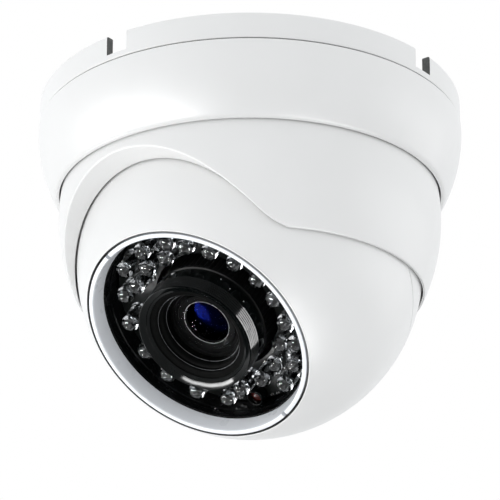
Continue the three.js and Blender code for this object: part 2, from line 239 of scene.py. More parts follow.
# ---- materials -------------------------------------------------------------------------------------
class Shader:
    """A Principled material with a few helpers for procedural detail."""

    def __init__(self, name, color, roughness, **sockets):
        """Sockets are named with _ for a space."""
        self.material = bpy.data.materials.new(name)
        self.material.use_nodes = True
        self.nodes = self.material.node_tree.nodes
        self.links = self.material.node_tree.links
        self.bsdf = self.nodes["Principled BSDF"]
        self.bsdf.inputs["Base Color"].default_value = (*color, 1)
        self.bsdf.inputs["Roughness"].default_value = roughness
        for socket, value in sockets.items():
            self.bsdf.inputs[socket.replace("_", " ")].default_value = value
        self.where = self.nodes.new("ShaderNodeTexCoord").outputs["Object"]

    def noise(self, scale, detail, stretch):
        """Noise in object coordinates, drawn out along an axis by stretch."""
        node = self.nodes.new("ShaderNodeTexNoise")
        node.inputs["Scale"].default_value = scale
        node.inputs["Detail"].default_value = detail
        source = self.where
        if stretch:
            mapping = self.nodes.new("ShaderNodeMapping")
            mapping.inputs["Scale"].default_value = stretch
            self.links.new(source, mapping.inputs["Vector"])
            source = mapping.outputs["Vector"]
        self.links.new(source, node.inputs["Vector"])
        return node.outputs["Fac"]

    def ramp(self, fac, low, high):
        """A blend from the low to the high colour over the middle of the noise."""
        node = self.nodes.new("ShaderNodeValToRGB")
        for element, position, color in zip(node.color_ramp.elements, (0.3, 0.7), (low, high)):
            element.position = position
            element.color = (*color, 1)
        self.links.new(fac, node.inputs["Fac"])
        return node.outputs["Color"]

    def tint(self, scale, low, high, stretch=None):
        """Mottles the base colour between low and high."""
        color = self.ramp(self.noise(scale, 3, stretch), low, high)
        self.links.new(color, self.bsdf.inputs["Base Color"])
        return self

    def gloss(self, scale, low, high, stretch=None):
        """Varies the roughness between low and high."""
        grey = self.ramp(self.noise(scale, 3, stretch), (low,) * 3, (high,) * 3)
        self.links.new(grey, self.bsdf.inputs["Roughness"])
        return self

    def bump(self, scale, depth, strength, stretch=None):
        """A fine grain, with its depth in metres."""
        node = self.nodes.new("ShaderNodeBump")
        node.inputs["Strength"].default_value = strength
        node.inputs["Distance"].default_value = depth
        self.links.new(self.noise(scale, 2, stretch), node.inputs["Height"])
        self.links.new(node.outputs["Normal"], self.bsdf.inputs["Normal"])
        return self


def make_materials():
    """Every finish by name. Colours are linear, and noise scales are per metre."""
    made = {}

    def keep(name, shader):
        made[name] = shader.material

    keep("housing_white", Shader("housing_white", (0.80, 0.80, 0.79), 0.38,
                                 Coat_Weight=0.12, Coat_Roughness=0.25)
         .tint(35, (0.792, 0.792, 0.785), (0.812, 0.812, 0.806))
         .gloss(240, 0.34, 0.44).bump(2600, 0.00003, 0.22))
    # A near-black finish for the side walls of the band's channels.
    keep("channel_wall_dark", Shader("channel_wall_dark", (0.07, 0.072, 0.07), 0.6)
         .tint(900, (0.05, 0.052, 0.05), (0.10, 0.102, 0.098)).gloss(700, 0.5, 0.7))
    keep("bezel_white", Shader("bezel_white", (0.91, 0.935, 0.97), 0.3,
                               Coat_Weight=0.2, Coat_Roughness=0.18)
         .tint(60, (0.9, 0.925, 0.96), (0.92, 0.945, 0.98))
         .gloss(300, 0.26, 0.36).bump(3000, 0.00002, 0.2))
    keep("black_plastic", Shader("black_plastic", (0.004, 0.0045, 0.0045), 0.4, Specular_IOR_Level=0.08)
         .tint(300, (0.003, 0.0035, 0.0035), (0.006, 0.0065, 0.0065))
         .gloss(500, 0.34, 0.46).bump(4200, 0.00003, 0.3))
    keep("cup_black", Shader("cup_black", (0.002, 0.0025, 0.003), 0.28, Specular_IOR_Level=0.08)
         .tint(200, (0.0015, 0.002, 0.002), (0.004, 0.0045, 0.005))
         .gloss(300, 0.22, 0.34).bump(3600, 0.00002, 0.2))
    keep("lens_black", Shader("lens_black", (0.002, 0.003, 0.003), 0.1, Specular_IOR_Level=0.13)
         .tint(400, (0.0015, 0.0022, 0.0022), (0.003, 0.0042, 0.0042)).gloss(700, 0.08, 0.13))
    keep("lens_matt", Shader("lens_matt", (0.001, 0.0013, 0.0013), 0.6, Specular_IOR_Level=0.03)
         .tint(500, (0.0008, 0.001, 0.001), (0.002, 0.0024, 0.0022)).gloss(600, 0.52, 0.66))
    keep("lens_edge", Shader("lens_edge", (0.06, 0.063, 0.066), 0.3, Metallic=1.0)
         .tint(900, (0.1, 0.105, 0.11), (0.16, 0.165, 0.17)).gloss(900, 0.24, 0.36))
    keep("rubber_black", Shader("rubber_black", (0.022, 0.022, 0.023), 0.7)
         .tint(400, (0.018, 0.018, 0.019), (0.03, 0.03, 0.031))
         .gloss(500, 0.62, 0.8).bump(2500, 0.00005, 0.35))
    keep("foam", Shader("foam", (0.03, 0.03, 0.03), 0.9)
         .tint(1800, (0.015, 0.015, 0.015), (0.05, 0.05, 0.05)).bump(2400, 0.00015, 0.8))
    keep("steel", Shader("steel", (0.62, 0.62, 0.63), 0.28, Metallic=1.0)
         .tint(500, (0.56, 0.56, 0.57), (0.68, 0.68, 0.69))
         .gloss(900, 0.2, 0.38, stretch=(1, 1, 12)).bump(2500, 0.00001, 0.25, stretch=(1, 1, 12)))
    keep("bracket_steel", Shader("bracket_steel", (0.55, 0.56, 0.57), 0.38, Metallic=1.0)
         .tint(160, (0.48, 0.49, 0.5), (0.62, 0.63, 0.64))
         .gloss(260, 0.3, 0.5, stretch=(1, 8, 1)).bump(1500, 0.00001, 0.25, stretch=(1, 8, 1)))
    keep("acetal", Shader("acetal", (0.72, 0.70, 0.64), 0.42, Subsurface_Weight=0.1)
         .tint(200, (0.69, 0.67, 0.61), (0.75, 0.73, 0.67)).gloss(300, 0.36, 0.5))
    keep("board", Shader("board", (0.003, 0.0045, 0.004), 0.35, Specular_IOR_Level=0.35)
         .tint(260, (0.002, 0.003, 0.003), (0.006, 0.008, 0.007))
         .gloss(420, 0.28, 0.45).bump(1400, 0.00003, 0.3))
    keep("epoxy", Shader("epoxy", (0.68, 0.7, 0.71), 0.0, Transmission_Weight=1.0, IOR=1.5)
         .tint(500, (0.66, 0.68, 0.69), (0.71, 0.72, 0.73)))
    keep("lead_frame", Shader("lead_frame", (0.09, 0.095, 0.1), 0.16, Metallic=1.0)
         .tint(1500, (0.05, 0.055, 0.058), (0.13, 0.135, 0.14)).gloss(1500, 0.1, 0.24))
    keep("reflector", Shader("reflector", (0.42, 0.43, 0.44), 0.12, Metallic=1.0))
    keep("die", Shader("die", (0.05, 0.045, 0.04), 0.25)
         .tint(3000, (0.03, 0.028, 0.025), (0.09, 0.08, 0.07)).gloss(2000, 0.15, 0.35))
    keep("solder", Shader("solder", (0.62, 0.63, 0.64), 0.25, Metallic=1.0)
         .tint(1800, (0.5, 0.51, 0.52), (0.72, 0.73, 0.74)).gloss(1500, 0.15, 0.4))
    keep("cell_red", Shader("cell_red", (0.06, 0.010, 0.008), 0.12,
                            Coat_Weight=0.6, Coat_Roughness=0.05)
         .tint(1600, (0.02, 0.004, 0.004), (0.12, 0.018, 0.014), stretch=(1, 5, 1)))
    keep("lens_glass", Shader("lens_glass", (1.0, 1.0, 1.0), 0.0, Transmission_Weight=1.0, IOR=1.03,
                              Specular_Tint=(0.5, 0.45, 1.0, 1.0))
         .tint(60, (0.96, 0.955, 0.96), (0.99, 0.985, 0.99)))
    keep("inner_glass", Shader("inner_glass", (0.0003, 0.0008, 0.02), 0.13, Metallic=1.0,
                               Specular_Tint=(0.45, 0.5, 1.0, 1.0))
         .tint(300, (0.0001, 0.0002, 0.004), (0.0002, 0.0004, 0.006)))
    keep("sensor_die", Shader("sensor_die", (0.03, 0.035, 0.04), 0.12)
         .tint(900, (0.02, 0.025, 0.03), (0.05, 0.04, 0.06)).gloss(600, 0.08, 0.2))
    return made


MATERIALS = make_materials()


# ---- base and enclosure ring -----------------------------------------------------------------------
CHANNEL = {"width": 7.0, "depth": 6.0, "start": 30.0, "first": 5}
FIXING = {"circle": 40.0, "radius": 2.3, "first": 50}
BAND_INNER = BASE_R - 2.6
GASKET_INNER, GASKET_OUTER = 45.8, 48.2


def mounting_base():
    """Base plate with its outer band, cable channels, screw holes and foam gasket."""
    inner, moat_floor = 32, -6.2
    neck_inner, neck_outer, neck_foot = 51, 53.5, -16.4
    groove_inner, groove_outer, groove_floor = GASKET_INNER - 0.3, GASKET_OUTER + 0.3, -1
    base = lathe("base_plate", [
        (inner, -3, 0.4), (48, -3), (48, -BASE_H), (neck_inner, -BASE_H), (neck_inner, neck_foot, 0.3),
        (neck_outer, neck_foot, 0.3), (neck_outer, -BASE_H), (BASE_R - 0.1, -BASE_H, 0.25), (BASE_R, -4),
        (BASE_R, -1.4), (BASE_R - 0.05, 0, 0.9), (BAND_INNER, 0, 0.3), (BAND_INNER, moat_floor, 0.4),
        (50, moat_floor, 0.4), (50, 0, 0.3), (groove_outer, 0), (groove_outer, groove_floor),
        (groove_inner, groove_floor), (groove_inner, 0), (inner, 0, 0.4)], ROW)
    half = CHANNEL["width"] / 2
    verts, faces = box_data((-half, -BASE_R - 1, -CHANNEL["depth"]), (half, -CHANNEL["start"], 1))
    turns = [spin(CHANNEL["first"] + 90 * i) for i in range(4)]
    cutters = [object_from("channel", verts, faces, ROW @ turn) for turn in turns]
    pin = [(0, -4), (FIXING["radius"], -4), (FIXING["radius"], 1), (0, 1)]
    verts, faces = lathe_data(pin, 32, False, (0, -FIXING["circle"], 0))
    turns = [spin(FIXING["first"] + 120 * i) for i in range(3)]
    cutters += [object_from("hole", verts, faces, ROW @ turn) for turn in turns]
    carve(base, cutters)
    finishes = [MATERIALS["housing_white"], MATERIALS["channel_wall_dark"]]
    settle(base, finishes, "base", ["mounting_base"])
    mark_channel_sides(base)
    gasket = lathe("foam_gasket", [
        (GASKET_INNER, -0.75), (GASKET_OUTER, -0.75), (GASKET_OUTER, 0, 0.25), (GASKET_INNER, 0, 0.25)], ROW)
    settle(gasket, MATERIALS["foam"], "base", ["base_gasket"])


def mark_channel_sides(base):
    """The side walls of the band beside each channel get the near-black finish."""
    for polygon in base.data.polygons:
        middle = Vector((polygon.center.x, polygon.center.y, 0)) / MM
        on_band = middle.length > BAND_INNER - 0.2
        sideways = abs(polygon.normal.dot(middle.normalized())) < 0.3 and abs(polygon.normal.z) < 0.3
        if on_band and sideways:
            polygon.material_index = 1


def enclosure_ring():
    """The wide convex cover ring, and a thin black ring in the groove between it and the base, which is painted
    shade for that groove.
    """
    reach, bulge_r, bulge_z = 61.5, 40.8, -9.2
    shelf_r, shelf_z = 56.1, -20.3
    outside = circle_arc(reach - bulge_r, bulge_z, bulge_r, RING_BOTTOM + 0.75, RING_TOP - 0.25, 30)
    corner_r = outside[0][0]
    ring = lathe("cover_ring", [
        (RING_LIP_R, RING_BOTTOM, 0.1), (RING_LIP_R + 0.5, RING_BOTTOM, 0.12),
        (corner_r - 0.4, RING_BOTTOM + 0.25, 0.3), *outside, (outside[-1][0] - 0.25, RING_TOP),
        (BAND_INNER, RING_TOP), (58.2, -9.6), (57.6, -14), (shelf_r, -18), (shelf_r, shelf_z),
        (RING_LIP_R, shelf_z, 0.2)], ROW)
    settle(ring, MATERIALS["housing_white"], "base", ["enclosure_ring"])
    # A black ring fills the groove between the base band and the cover ring: painted shade, standing in for the
    # shade in that groove.
    low, high = RING_TOP + 0.02, -BASE_H - 0.02
    gap_shade = lathe("base_groove_shade", [(58.9, low), (60.75, low), (60.75, high), (58.9, high)], ROW)
    settle(gap_shade, MATERIALS["rubber_black"], "base")


# ---- swivel shell ----------------------------------------------------------------------------------
ARCH_R, ARCH_TOP, ARCH_BLEND, ARCH_FOOT = 44.4, -40.8, 8.7, -63.4
ARCH_RISE = math.radians(9)
ARCH_OUT = Vector((0, -math.cos(ARCH_RISE), math.sin(ARCH_RISE)))


def arch_outline(steps):
    """One half of the arch, from its top to its foot, as (x, height across the push direction)."""
    centre_y = ARCH_TOP - ARCH_R
    blend_y = ARCH_FOOT + ARCH_BLEND
    blend_x = math.sqrt((ARCH_R + ARCH_BLEND) ** 2 - (blend_y - centre_y) ** 2)
    lean = math.atan2(blend_y - centre_y, blend_x)
    turn = math.pi / 2 - lean
    arch_length = ARCH_R * turn
    points = []
    for i in range(steps + 1):
        s = (arch_length + ARCH_BLEND * turn) * i / steps
        if s <= arch_length:
            angle = math.pi / 2 - s / ARCH_R
            points.append((ARCH_R * math.cos(angle), centre_y + ARCH_R * math.sin(angle)))
        else:
            angle = lean + math.pi + (s - arch_length) / ARCH_BLEND
            points.append((blend_x + ARCH_BLEND * math.cos(angle), blend_y + ARCH_BLEND * math.sin(angle)))
    return points


def on_outer_sphere(x, height):
    """The front point of the swivel's outer sphere on the push line through (x, height)."""
    start = Vector((x, 0, height / math.cos(ARCH_RISE)))
    to_centre = start - Vector((0, 0, SWIVEL_CZ))
    b = to_centre.dot(ARCH_OUT)
    c = to_centre.length_squared - SWIVEL_R ** 2
    return start + ARCH_OUT * (-b + math.sqrt(b * b - c))


def onto_clearance(point, direction):
    """Where a line from point along direction meets the sphere that clears the ball."""
    to_centre = point - Vector((0, 0, BALL_CZ))
    b = to_centre.dot(direction)
    c = to_centre.length_squared - BALL_CLEAR_R ** 2
    return point + direction * (-b - math.sqrt(b * b - c))


def smoothstep(t):
    """An even blend from 0 to 1, flat at both ends."""
    t = min(max(t, 0.0), 1.0)
    return t * t * (3 - 2 * t)


def swivel_edges():
    """Outer and inner edge points of every column, once round, starting at the middle of the arch.

    The face of the edge follows the push direction near the middle and is radial outside side_x.
    """
    side_x, blend_width, rim_steps = 43, 8, 110
    half = [on_outer_sphere(x, h) for x, h in arch_outline(84)]
    half = [p for p in half if p.z > SWIVEL_RIM]
    last = math.atan2(half[-1].x, -half[-1].y)
    rim_r = math.sqrt(SWIVEL_R ** 2 - (SWIVEL_RIM - SWIVEL_CZ) ** 2)
    for i in range(1, rim_steps + 1):
        angle = last + (math.pi - last) * i / rim_steps
        half.append(Vector((rim_r * math.sin(angle), -rim_r * math.cos(angle), SWIVEL_RIM)))
    edges = []
    for outer in half:
        radial = Vector((-outer.x, -outer.y, 0)).normalized()
        pushed = smoothstep((side_x - abs(outer.x)) / blend_width) if outer.y < 0 else 0.0
        direction = (-ARCH_OUT * pushed + radial * (1 - pushed)).normalized()
        edges.append((outer, onto_clearance(outer, direction)))
    mirror = [(Vector((-o.x, o.y, o.z)), Vector((-i.x, i.y, i.z))) for o, i in edges[1:-1]]
    return edges + mirror[::-1]


def edge_curve(before, here, after, radius, steps):
    """A small rounded corner at here, between the directions to before and after."""
    start = here + (before - here).normalized() * min(radius, (before - here).length * 0.45)
    end = here + (after - here).normalized() * min(radius, (after - here).length * 0.45)
    points = []
    for k in range(steps + 1):
        t = k / steps
        points.append(start * (1 - t) ** 2 + here * 2 * t * (1 - t) + end * t ** 2)
    return points


def swivel_column(outer, inner):
    """One column of the shell: down the outside, across the edge and up the inside."""
    across = Vector((outer.x, outer.y, 0)).normalized()
    up = Vector((0, 0, 1))

    def at(radius, z):
        return across * radius + up * z

    def outside(z):
        return at(math.sqrt(SWIVEL_R ** 2 - (z - SWIVEL_CZ) ** 2), z)

    collar_top, collar_foot, collar_r = -18, -20, 55.6
    column = [at(51, collar_top), at(collar_r, collar_top), at(collar_r, collar_foot), at(53.4, collar_foot)]
    rows = 26
    end = outer.z + 0.5
    column += [outside(SWIVEL_TOP + (end - SWIVEL_TOP) * i / rows) for i in range(rows)]
    inner_across = Vector((inner.x, inner.y, 0)).normalized()

    def inside(z):
        clear = math.sqrt(BALL_CLEAR_R ** 2 - (z - BALL_CZ) ** 2)
        hollow = math.sqrt((SWIVEL_R - 2.5) ** 2 - (z - SWIVEL_CZ) ** 2)
        share = smoothstep((z - inner.z - 1.5) / 2.5)
        direction = inner_across.lerp(across, smoothstep((z - inner.z) / 8)).normalized()
        return direction * (clear + (max(hollow, clear) - clear) * share) + up * z

    column += edge_curve(outside(outer.z + 2), outer, inner, 0.55, 5)
    column += [outer.lerp(inner, t) for t in (0.35, 0.65)]
    column += edge_curve(outer, inner, inside(inner.z + 1), 0.16, 3)
    column += [inside(inner.z + (SWIVEL_TOP - inner.z) * i / 12) for i in range(1, 13)]
    return column


def swivel_shell():
    """The arched shell, closed from the columns round it."""
    columns = [swivel_column(*edge) for edge in swivel_edges()]
    rows = len(columns[0])
    verts = [point for column in columns for point in column]
    faces = []
    for i in range(len(columns)):
        j = (i + 1) % len(columns)
        for k in range(rows):
            m = (k + 1) % rows
            faces.append((i * rows + k, j * rows + k, j * rows + m, i * rows + m))
    shell = object_from("swivel_housing", verts, faces, ROW, 40)
    settle(shell, MATERIALS["housing_white"], "swivel", ["swivel_shell"])


# ---- ball shells and bezel -------------------------------------------------------------------------
SCREW_CIRCLE, SCREW_HEAD_R, SCREW_SEAT = 38.0, 2.6, -22.0
SCREW_PLACES = [on_circle(SCREW_CIRCLE, 90 + 120 * i) for i in range(3)]


def ball_shells():
    """Front and rear halves of the ball, with the cable grommet at the back."""
    bore, cup_bore, shelf_z, bore_foot = BEZEL_R + 0.1, 32.8, 29.2, 26.8
    edge = math.sqrt(BALL_R ** 2 - (bore + 0.35) ** 2)
    front = lathe("ball_front", [
        (BALL_R - 0.25, SEAM), *sphere_arc(BALL_R, 0, SEAM + 0.22, edge, 44), (bore, BEZEL_FACE - 0.1, 0.12),
        (bore, shelf_z), (cup_bore, shelf_z), (cup_bore, bore_foot),
        *sphere_arc(BALL_INNER_R, 0, bore_foot, SEAM, 14)], BALL)
    settle(front, MATERIALS["housing_white"], "ball", ["ball_front_shell"])
    top, back, cable_hole = SEAM - SEAM_GAP, REAR_CUT + 2.5, 5
    rear = lathe("ball_rear", [
        (cable_hole, REAR_CUT), (25.9, REAR_CUT, 0.5), *sphere_arc(BALL_R, 0, REAR_CUT + 0.4, top - 0.22, 36),
        (BALL_R - 0.25, top), *sphere_arc(BALL_INNER_R, 0, top, back, 14), (cable_hole, back)], BALL)
    cutters = []
    recess_r, recess_foot = SCREW_HEAD_R + 0.35, -46
    recess = [(0, recess_foot), (recess_r, recess_foot), (recess_r, SCREW_SEAT), (0, SCREW_SEAT)]
    for x, y in SCREW_PLACES:
        verts, faces = lathe_data(recess, 40, False, (x, y, 0))
        cutters.append(object_from("recess", verts, faces, BALL))
    carve(rear, cutters)
    settle(rear, MATERIALS["housing_white"], "ball", ["ball_rear_shell"])
    cable_r, neck_r, flange_r, head_r = 1.7, 4.8, 6.5, 7.5
    grommet = lathe("rubber_grommet", [
        (cable_r, REAR_CUT - 2.2, 0.4), (flange_r, REAR_CUT - 2.2, 0.8), (head_r, REAR_CUT - 1.2, 0.4),
        (head_r, REAR_CUT - 0.1), (neck_r, REAR_CUT - 0.1), (neck_r, REAR_CUT + 2.7),
        (flange_r, REAR_CUT + 2.7), (flange_r, REAR_CUT + 4, 0.5), (cable_r, REAR_CUT + 4, 0.3)],
        BALL, MEDIUM)
    settle(grommet, MATERIALS["rubber_black"], "ball", ["cable_grommet"])


def shell_screws():
    """Three cross-head screws that hold the halves of the ball together."""
    under, shank_r, shank_end = SCREW_SEAT - 0.3, 1.3, 10
    profile = rounded([(0, under - 2), (SCREW_HEAD_R, under - 1.6, 0.8), (SCREW_HEAD_R, under, 0.15),
                       (shank_r, under), (shank_r, shank_end), (0, shank_end)], False)
    cross, sides = box_data((-0.3, -1.5, under - 3), (0.3, 1.5, under - 1.1))
    for i, (x, y) in enumerate(SCREW_PLACES):
        verts, faces = lathe_data(profile, SMALL, False, (x, y, 0))
        screw = object_from(f"shell_screw_part_{i + 1}", verts, faces, BALL)
        slots = []
        for turn in (20, 110):
            place = BALL @ Matrix.Translation((x, y, 0)) @ spin(turn + 30 * i)
            slots.append(object_from("slot", cross, sides, place))
        carve(screw, slots)
        settle(screw, MATERIALS["steel"], "ball", [f"shell_screw_{i + 1}"])


BEZEL_NOTCH_ANGLES = (109.5, -70.5)


def bezel_ring():
    """The bright ring round the opening, with two spanner notches, and a black lining in the gap outside it, which
    is painted shade for that gap.
    """
    back, tip, outside = CUP_RIM + 0.3, CUP_STEP + 0.3, BEZEL_R - 0.6
    ring = lathe("bezel_trim", [
        (BEZEL_SKIRT_R, back), (outside, back), (outside, BEZEL_FACE, 0.15), (32.35, BEZEL_FACE + 0.1, 0.3),
        (32.12, BEZEL_FACE - 0.4, 0.2), (31.25, tip, 0.1), (BEZEL_SKIRT_R, tip)], BALL)
    verts, faces = box_data((32.15, -0.7, BEZEL_FACE - 1.9), (BEZEL_R + 1, 0.7, BEZEL_FACE + 1))
    carve(ring, [object_from("notch", verts, faces, BALL @ spin(angle)) for angle in BEZEL_NOTCH_ANGLES])
    settle(ring, MATERIALS["bezel_white"], "ball", ["bezel_ring"])
    # The black lining in the gap between bezel and ball is painted shade: it makes the gap read as a dark line.
    near, lining, far = outside + 0.03, BEZEL_R - 0.04, BEZEL_R + 0.08
    gap_shade = lathe("bezel_gap_shade", [
        (near, 33), (far, 33), (far, 35.42), (lining, 35.42), (lining, 33.6), (near, 33.6)], BALL)
    settle(gap_shade, MATERIALS["rubber_black"], "ball")


# ---- LED board, lamps and light cell ---------------------------------------------------------------
# Rows of lamps: radius, first angle, step, count.
LAMP_ROWS = ((25.3, 68.5, -17.2, 6), (27.7, -31, -17, 3), (22.5, -34.5, -20.5, 4),
             (25.2, 249.5, -21.8, 6), (27.2, 121, -20, 3), (22.4, 128, -20, 3))
CELL = {"circle": 28.2, "angle": -97.0}
CELL_SIDES = 48
LED_R, LED_LENGTH = 2.5, 8.7


def lamp_places():
    """Circle radius and angle of every lamp, in the order of the CAD nodes."""
    return [(circle, first + step * i) for circle, first, step, count in LAMP_ROWS for i in range(count)]


def cup_and_board():
    """The black cup round the lamps, with a shallow groove in its wall, and the board in it."""
    hole_r, foot, floor, body_r, flange_r, flange_foot = 19, 19, 20.6, 32.4, 33.5, 29.5
    groove_r, step_r = CUP_INNER_R + 0.25, BEZEL_SKIRT_R + 0.3
    cup = lathe("module_housing", [
        (hole_r, foot, 0.2), (body_r, foot, 0.3), (body_r, flange_foot), (flange_r, flange_foot),
        (flange_r, CUP_RIM, 0.2), (step_r, CUP_RIM, 0.1), (step_r, CUP_STEP), (CUP_INNER_R, CUP_STEP, 0.2),
        (CUP_INNER_R, 28.6, 0.1), (groove_r, 28.3, 0.1), (groove_r, 27.3, 0.1), (CUP_INNER_R, 27.0),
        (CUP_INNER_R, floor), (hole_r, floor, 0.2)], BALL)
    settle(cup, MATERIALS["cup_black"], "module", ["module_cup"])
    inner, outer, low = 18.9, 30.6, 21
    board = lathe("lamp_board", [
        (inner, low, 0.1), (outer, low, 0.1), (outer, BOARD_TOP, 0.1), (inner, BOARD_TOP, 0.1)], BALL, MEDIUM)
    settle(board, MATERIALS["board"], "module", ["led_board"])


def lamp_parts():
    """Epoxy body and metal inside of one lamp, at the origin with its foot at z = 0."""
    flange_r, flange_top, dome_foot = 2.9, 1.0, LED_LENGTH - LED_R
    body = [(0, 0), (flange_r, 0), (flange_r, flange_top, 0.15), (LED_R, flange_top), (LED_R, 2.0),
            (LED_R, 3.5), (LED_R, 5.0), (LED_R, dome_foot)]
    for angle in range(10, 90, 10):
        across, up = on_circle(LED_R, angle)
        body.append((across, dome_foot + up))
    body.append((0, LED_LENGTH))
    outer = lathe_data(rounded(body, False, 2), SMALL, False)
    cup_x, wire_foot, half = -0.35, 4.7, 0.22
    bowl = [(0, 4.5), (0.3, 4.5), (0.55, 5.0), (0.62, 5.0), (0.62, 4.2, 0.1), (0.4, 3.8), (0, 3.8)]
    cup = lathe_data(rounded(bowl, False, 2), 16, False, (cup_x, 0, 0))
    anvil = box_data((-0.8, -half, -0.2), (-0.05, half, 3.9))
    post = box_data((0.6, -half, -0.2), (1.0, half, wire_foot))
    foot = box_data((0.45, -half, 4.3), (1.2, half, wire_foot))
    die = box_data((-0.55, -0.2, 4.45), (-0.15, 0.2, wire_foot))
    path = []
    for k in range(7):
        t = k / 6
        path.append(Vector((cup_x + 1.15 * t, 0.0, wire_foot + 0.6 * math.sin(math.pi * t))))
    wire = tube_along(path, 0.05, 6)
    return outer, merged([(*cup, 2), (*anvil, 0), (*post, 0), (*foot, 0), (*die, 1), (*wire, 2)])


def tube_along(points, radius, sides):
    """A closed thin tube along points, its section kept square to the path."""
    verts, faces = [], []
    for i, point in enumerate(points):
        ahead = (points[min(i + 1, len(points) - 1)] - points[max(i - 1, 0)]).normalized()
        side = ahead.cross(Vector((0, 1, 0))).normalized()
        other = ahead.cross(side)
        for k in range(sides):
            angle = 2 * math.pi * k / sides
            across, up = radius * math.cos(angle), radius * math.sin(angle)
            verts.append(tuple(point + side * across + other * up))
    for i in range(len(points) - 1):
        for k in range(sides):
            m = (k + 1) % sides
            faces.append((i * sides + k, i * sides + m, (i + 1) * sides + m, (i + 1) * sides + k))
    faces.append(tuple(range(sides))[::-1])
    faces.append(tuple((len(points) - 1) * sides + k for k in range(sides)))
    return verts, faces


def lamps():
    """The lamps, each turned its own way and leaning a little, as hand-soldered ones do."""
    (body_verts, body_faces), (metal_verts, metal_faces, metal_index) = lamp_parts()
    lean = math.radians(1.6)
    for number, (circle, angle) in enumerate(lamp_places(), 1):
        tilt = Euler((lean * math.sin(number * 2.1), lean * math.cos(number * 1.3), 0))
        foot = Matrix.Translation((circle, 0, LED_FOOT - 0.25))
        turn = spin(number * 137.5 % 360)
        place = BALL @ spin(angle) @ foot @ tilt.to_matrix().to_4x4() @ turn
        name = f"{number:02d}"
        body = object_from(f"lamp_{name}", body_verts, body_faces, place, 40)
        settle(body, MATERIALS["epoxy"], "module", [f"led_{name}"])
        metal = object_from(f"lamp_frame_{name}", metal_verts, metal_faces, place, 30)
        finishes = [MATERIALS["lead_frame"], MATERIALS["die"], MATERIALS["reflector"]]
        settle(metal, finishes, "module")
        mark_faces(metal, metal_index)


def light_cell():
    """The red light cell in its collar."""
    place = BALL @ Matrix.Translation((*on_circle(CELL["circle"], CELL["angle"]), LED_FOOT))
    collar = lathe("cell_collar", [
        (1.9, 0), (2.75, 0), (2.75, 3.0, 0.3), (2.2, 3.4, 0.3), (1.9, 3.0, 0.2)], place, CELL_SIDES)
    settle(collar, MATERIALS["lens_black"], "module")
    cell = lathe("light_cell", [
        (0, 0.1), (1.8, 0.1), (1.8, 1.6, 0.2), (1.2, 1.7), (1.1, 2.1, 0.4), (0, 2.4)],
        place, CELL_SIDES, False)
    settle(cell, MATERIALS["cell_red"], "module", ["light_sensor"])


def board_chips():
    """Small parts with solder ends on the board, by circle radius and angle from the light cell."""
    foot, end_top, body_top = BOARD_TOP + 0.02, LED_FOOT + 0.3, LED_FOOT + 0.25
    parts = []
    for circle, turn in ((29.7, 8), (29.9, 12), (28.9, 16), (29.6, -13), (28.6, -17)):
        x, y = on_circle(circle, CELL["angle"] + turn)
        for end in (x - 0.42, x + 0.42):
            parts.append((*box_data((end - 0.17, y - 0.22, foot), (end + 0.17, y + 0.22, end_top)), 0))
        parts.append((*box_data((x - 0.24, y - 0.2, foot), (x + 0.24, y + 0.2, body_top)), 1))
    verts, faces, indices = merged(parts)
    chips = object_from("board_chips", verts, faces, BALL)
    settle(chips, [MATERIALS["solder"], MATERIALS["die"]], "module")
    mark_faces(chips, indices)


# ---- varifocal lens --------------------------------------------------------------------------------
SLEEVE_R = 17.45
SLEEVE_BORE = 14.6
GRIP_BORE = 14.6
GLASS_R = 11.15


def lens_sleeve():
    """Front sleeve with six steps on its side, and three dots on the plain part below them."""
    steps = []
    for i in range(6):
        r, t = SLEEVE_R - 0.05 * i, 31.9 + 0.75 * i
        steps += [(r, t), (r, t + 0.25), (r - 0.4, t + 0.65)]
    sleeve = lathe("lens_sleeve", [
        (SLEEVE_BORE, 27.8), (16.9, 27.8, 0.2), (17.4, 28.3, 0.2), *steps, (17.15, 36.5), (17.1, 37.2, 0.1),
        (15.45, 36.05, 0.05), (15.3, 35.8), (SLEEVE_BORE, 35.4)], BALL, sharp=24)
    settle(sleeve, MATERIALS["lens_black"], "focus", ["lens_front_sleeve"])
    pin, sides = lathe_data([(0, 17.3), (0.16, 17.3), (0.16, 17.43), (0, 17.45)], 16, False)
    marks = []
    for angle, t in ((39.0, 29.2), (27.2, 30.6), (10.1, 30.6)):
        turn = Matrix.Translation((0, 0, t)) @ spin(angle) @ Matrix.Rotation(math.pi / 2, 4, "Y")
        marks.append(([tuple(turn @ Vector(v)) for v in pin], sides, 0))
    verts, faces, _ = merged(marks)
    dots = object_from("index_dots", verts, faces, BALL)
    settle(dots, MATERIALS["bezel_white"], "focus")


def lens_funnel():
    """Matt funnel between the rim and the glass, with the two fine bright edges in it."""
    bore, wall = 11.6, SLEEVE_BORE - 0.05
    funnel = lathe("lens_funnel", [
        (bore, 27.9), (wall, 27.9), (wall, 35.3), (14.95, 35.5), (14.8, 35.1, 0.2), (13.1, 34.8, 0.15),
        (12.75, 34.4, 0.1), (12.6, 33.8, 0.2), (12.5, 33.2), (11.9, 32.9, 0.15), (bore, 32.4)],
        BALL, sharp=24)
    settle(funnel, MATERIALS["lens_matt"], "focus")
    for name, r, t in (("funnel_edge", 12.62, 34.05), ("glass_edge", 11.3, 31.5)):
        inner, outer = r - 0.07, r + 0.05
        edge = lathe(name, [(inner, t - 0.1), (outer, t - 0.1), (outer, t, 0.04), (inner, t - 0.04)], BALL)
        settle(edge, MATERIALS["lens_edge"], "focus")
    holder = lathe("glass_holder", [
        (11.3, 31.3), (12.35, 31.3), (12.35, 32.9), (12.0, 33.0, 0.05), (11.7, 32.6, 0.1), (11.4, 31.6, 0.1)],
        BALL)
    settle(holder, MATERIALS["lens_matt"], "focus")


